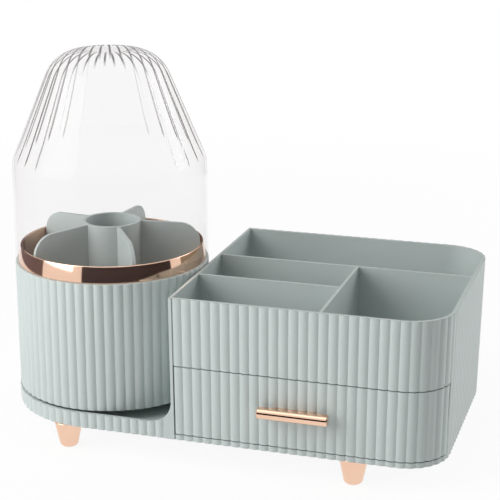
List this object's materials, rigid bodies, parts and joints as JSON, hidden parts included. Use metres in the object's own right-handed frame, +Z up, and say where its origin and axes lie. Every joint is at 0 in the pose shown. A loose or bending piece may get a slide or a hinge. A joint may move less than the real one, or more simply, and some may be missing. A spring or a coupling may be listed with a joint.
{
  "type": "rotating makeup organizer with drawer",
  "caption": "Vanity makeup organizer: a reeded brush drum that turns under a clear lift-off dome, beside an open divided tray over a pull-out drawer, on tapered feet.",
  "frame": {"origin": "on the ground, under the middle of the object's bounding box, handle included", "axes": "+X from the brush drum towards the cabinet, -Y out of the drawer's front, +Z up"},
  "size_m": [0.3168, 0.1846, 0.2657],
  "materials": {
    "sage_plastic": "satin moulded plastic",
    "rose_gold": "plated, mirror bright",
    "clear_cover": "clear plastic with a faint warm tint",
    "race_steel": "pressed steel",
    "bright_steel": "bright zinc-plated steel",
    "cage_plastic": "natural nylon",
    "pad_rubber": "soft non-slip pad"
  },
  "bodies": {
    "base": {"body_shell": "sage_plastic", "turntable_lower_race": "race_steel", "race_screws": "bright_steel", "foot_front_left": "rose_gold", "foot_front_right": "rose_gold", "foot_rear_left": "rose_gold", "foot_rear_right": "rose_gold", "foot_screws": "bright_steel", "foot_pads": "pad_rubber"},
    "drum": {"brush_drum": "sage_plastic", "divider_insert": "sage_plastic", "mirror_ring": "rose_gold", "turntable_upper_race": "race_steel", "drum_screws": "bright_steel", "pivot_screw": "bright_steel", "pivot_washer": "bright_steel", "pivot_nut": "bright_steel"},
    "cage": {"ball_cage": "cage_plastic", "bearing_balls": "bright_steel"},
    "dome": {"dome_cover": "clear_cover"},
    "drawer": {"drawer_box": "sage_plastic", "drawer_front": "sage_plastic", "handle_bar": "rose_gold", "handle_block": "rose_gold", "handle_screws": "bright_steel"}
  },
  "joints": [
    {"name": "drum_spin", "type": "hinge", "parent": "base", "child": "drum", "pos_m": [-0.09093, -0.01216, 0.0307], "axis": [0, 0, 1], "continuous": true},
    {"name": "cage_spin", "type": "hinge", "parent": "base", "child": "cage", "pos_m": [-0.09093, -0.01216, 0.0267], "axis": [0, 0, 1], "continuous": true},
    {"name": "dome_lift", "type": "slide", "parent": "drum", "child": "dome", "axis": [0, 0, 1], "range_m": [0, 0.16]},
    {"name": "drawer_slide", "type": "slide", "parent": "base", "child": "drawer", "axis": [0, -1, 0], "range_m": [0, 0.12]}
  ],
  "couplings": [
    {"joint": "cage_spin", "follows": "drum_spin", "ratio": 0.5}
  ]
}
